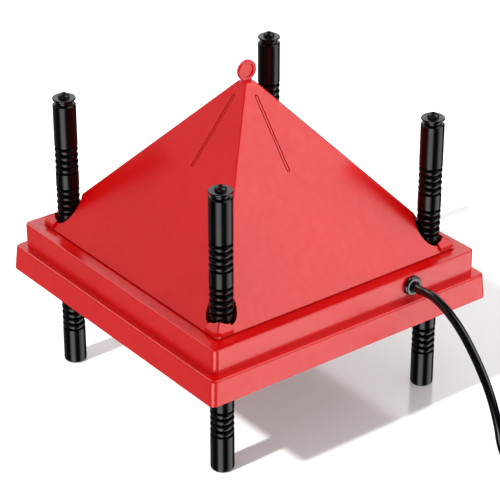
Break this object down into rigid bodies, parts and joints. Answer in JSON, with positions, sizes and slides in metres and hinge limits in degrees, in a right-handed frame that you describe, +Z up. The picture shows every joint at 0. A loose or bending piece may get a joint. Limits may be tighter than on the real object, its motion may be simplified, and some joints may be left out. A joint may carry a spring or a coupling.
{
  "type": "chick brooder heater plate",
  "caption": "Square heater plate for chicks: a low stepped casing on height-adjustable ribbed legs, with a loose pyramid cover against roosting and a mains cord.",
  "frame": {"origin": "middle of the square footprint, on the floor that the feet stand on", "axes": "+Z up; +X towards the wall that the cord leaves; -Y towards the other wall that the picture shows"},
  "size_m": [0.439, 0.2954, 0.2542],
  "materials": {
    "casing_red": "moulded, satin to glossy",
    "leg_black": "moulded, semi-gloss",
    "cap_black": "moulded, semi-gloss",
    "screw_black": "blackened",
    "ring_rubber": "soft rubber",
    "plate_red": "fine matt grain",
    "foil": "smooth foil",
    "wire_silicone": "silicone sleeve",
    "insulation": "felted board",
    "cutout_resin": "moulded resin",
    "block_white": "moulded",
    "terminal_brass": "machined",
    "lead_blue": "insulated lead",
    "lead_red": "insulated lead",
    "cord_black": "smooth sheath",
    "clamp_grey": "moulded",
    "screw_steel": "zinc plated",
    "grommet_black": "moulded, glossy",
    "tie_black": "flat strap",
    "plug_black": "moulded, satin",
    "pin_brass": "plated blade"
  },
  "bodies": {
    "base": {"housing": "casing_red", "radiant_plate": "plate_red", "heating_foil": "foil", "heating_wire": "wire_silicone", "insulation_board": "insulation", "thermal_cutout": "cutout_resin", "terminal_block": "block_white", "terminal_screws": "terminal_brass", "supply_leads": "lead_blue", "element_leads": "lead_red", "cord_tail": "cord_black", "cord_clamp": "clamp_grey", "clamp_screws": "screw_steel", "cord_grommet": "grommet_black", "base_screws": "screw_steel", "power_cord": "cord_black", "cord_coil": "cord_black", "coil_tie": "tie_black", "plug_body": "plug_black", "plug_pins": "pin_brass", "grip_ring_front": "ring_rubber", "grip_ring_left": "ring_rubber", "grip_ring_right": "ring_rubber", "grip_ring_back": "ring_rubber"},
    "cover": {"cover": "casing_red"},
    "leg_front": {"leg_front": "leg_black", "leg_cap_front": "cap_black", "leg_screw_front": "screw_black"},
    "leg_left": {"leg_left": "leg_black", "leg_cap_left": "cap_black", "leg_screw_left": "screw_black"},
    "leg_right": {"leg_right": "leg_black", "leg_cap_right": "cap_black", "leg_screw_right": "screw_black"},
    "leg_back": {"leg_back": "leg_black", "leg_cap_back": "cap_black", "leg_screw_back": "screw_black"}
  },
  "joints": [
    {"name": "cover_lift", "type": "slide", "parent": "base", "child": "cover", "axis": [0, 0, 1], "range_m": [0, 0.18]},
    {"name": "leg_front_slide", "type": "slide", "parent": "base", "child": "leg_front", "axis": [0, 0, 1], "range_m": [-0.08, 0.065]},
    {"name": "leg_left_slide", "type": "slide", "parent": "base", "child": "leg_left", "axis": [0, 0, 1], "range_m": [-0.08, 0.065]},
    {"name": "leg_right_slide", "type": "slide", "parent": "base", "child": "leg_right", "axis": [0, 0, 1], "range_m": [-0.08, 0.065]},
    {"name": "leg_back_slide", "type": "slide", "parent": "base", "child": "leg_back", "axis": [0, 0, 1], "range_m": [-0.08, 0.065]}
  ]
}
